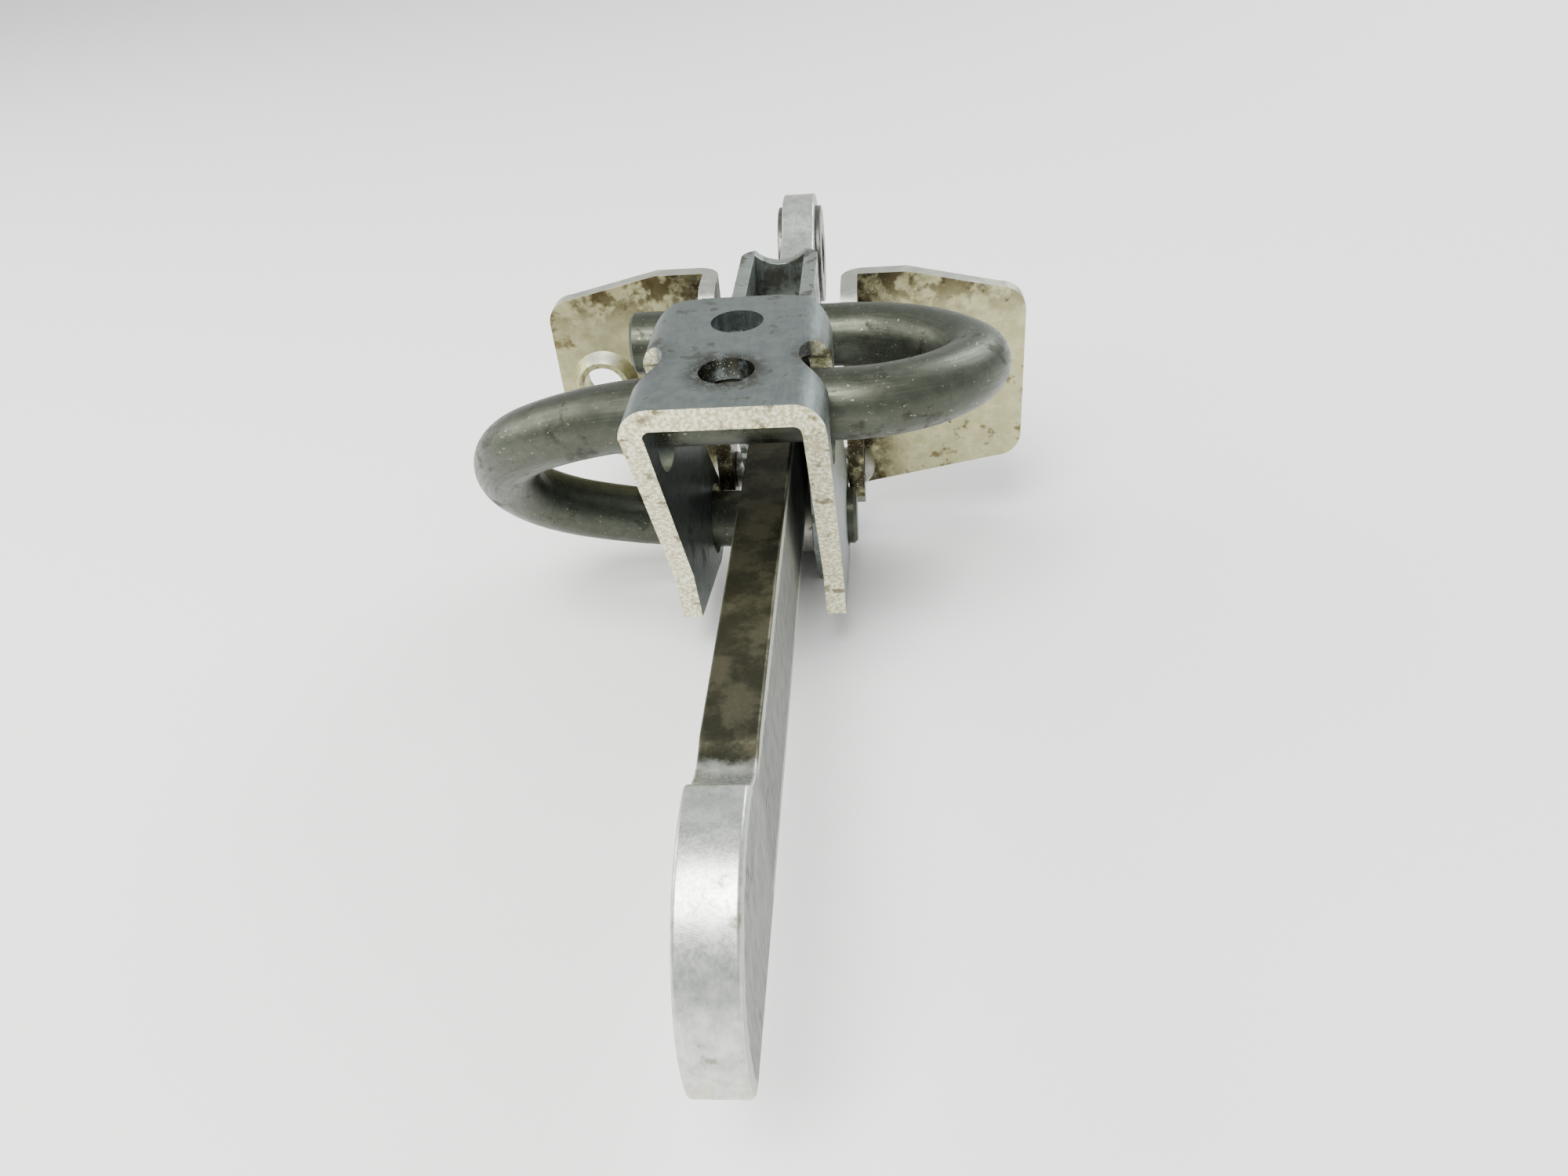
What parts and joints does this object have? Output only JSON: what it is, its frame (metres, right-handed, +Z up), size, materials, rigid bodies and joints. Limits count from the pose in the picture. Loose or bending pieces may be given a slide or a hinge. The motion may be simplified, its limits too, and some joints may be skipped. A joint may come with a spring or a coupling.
{
  "type": "hold-open check",
  "caption": "Flat hold-open arm that slides through a two-winged throat, gripped between rollers on an S-shaped spring bar under a sheet cage.",
  "frame": {"origin": "midway between the two wing bolt holes, on the face that seats against the door or post", "axes": "+X to the right along the pins, +Y along the arm from its stop head to its eye, +Z up out of the cage's top"},
  "size_m": [0.0808, 0.1786, 0.0529],
  "materials": {
    "arm_steel": "ground steel, oily brown on the upper edge, bright on the stop head",
    "bush_steel": "dark oiled steel",
    "cage_zinc": "blue-grey zinc, bright cut edges, grease marks",
    "spring_steel": "dark oil-blackened spring steel, greasy",
    "roller_steel": "hardened steel, polished by rolling",
    "throat_zinc": "blue-grey zinc, greasy",
    "wing_zinc": "yellowed zinc with brown stains",
    "rivet_steel": "zinc, worn",
    "spacer_steel": "zinc, greasy"
  },
  "bodies": {
    "housing": {"cage": "cage_zinc", "torsion_spring": "spring_steel", "guide_channel": "throat_zinc", "left_wing": "wing_zinc", "right_wing": "wing_zinc", "upper_rivet": "rivet_steel", "lower_rivet": "rivet_steel", "upper_left_spacer": "spacer_steel", "upper_right_spacer": "spacer_steel", "lower_left_spacer": "spacer_steel", "lower_right_spacer": "spacer_steel"},
    "arm": {"check_arm": "arm_steel", "left_eye_bush": "bush_steel", "right_eye_bush": "bush_steel"},
    "top_roller": {"upper_roller": "roller_steel"},
    "bottom_roller": {"lower_roller": "roller_steel"}
  },
  "joints": [
    {"name": "arm_slide", "type": "slide", "parent": "housing", "child": "arm", "axis": [0, 1, 0], "range_m": [-0.028, 0.08]},
    {"name": "upper_roller_spin", "type": "hinge", "parent": "housing", "child": "top_roller", "pos_m": [0, -0.0166, 0.01275], "axis": [1, 0, 0], "continuous": true},
    {"name": "lower_roller_spin", "type": "hinge", "parent": "housing", "child": "bottom_roller", "pos_m": [0, -0.0166, -0.01835], "axis": [1, 0, 0], "continuous": true}
  ],
  "couplings": [
    {"joint": "upper_roller_spin", "follows": "arm_slide", "rad_per_m": 175.44},
    {"joint": "lower_roller_spin", "follows": "arm_slide", "rad_per_m": -175.44}
  ]
}
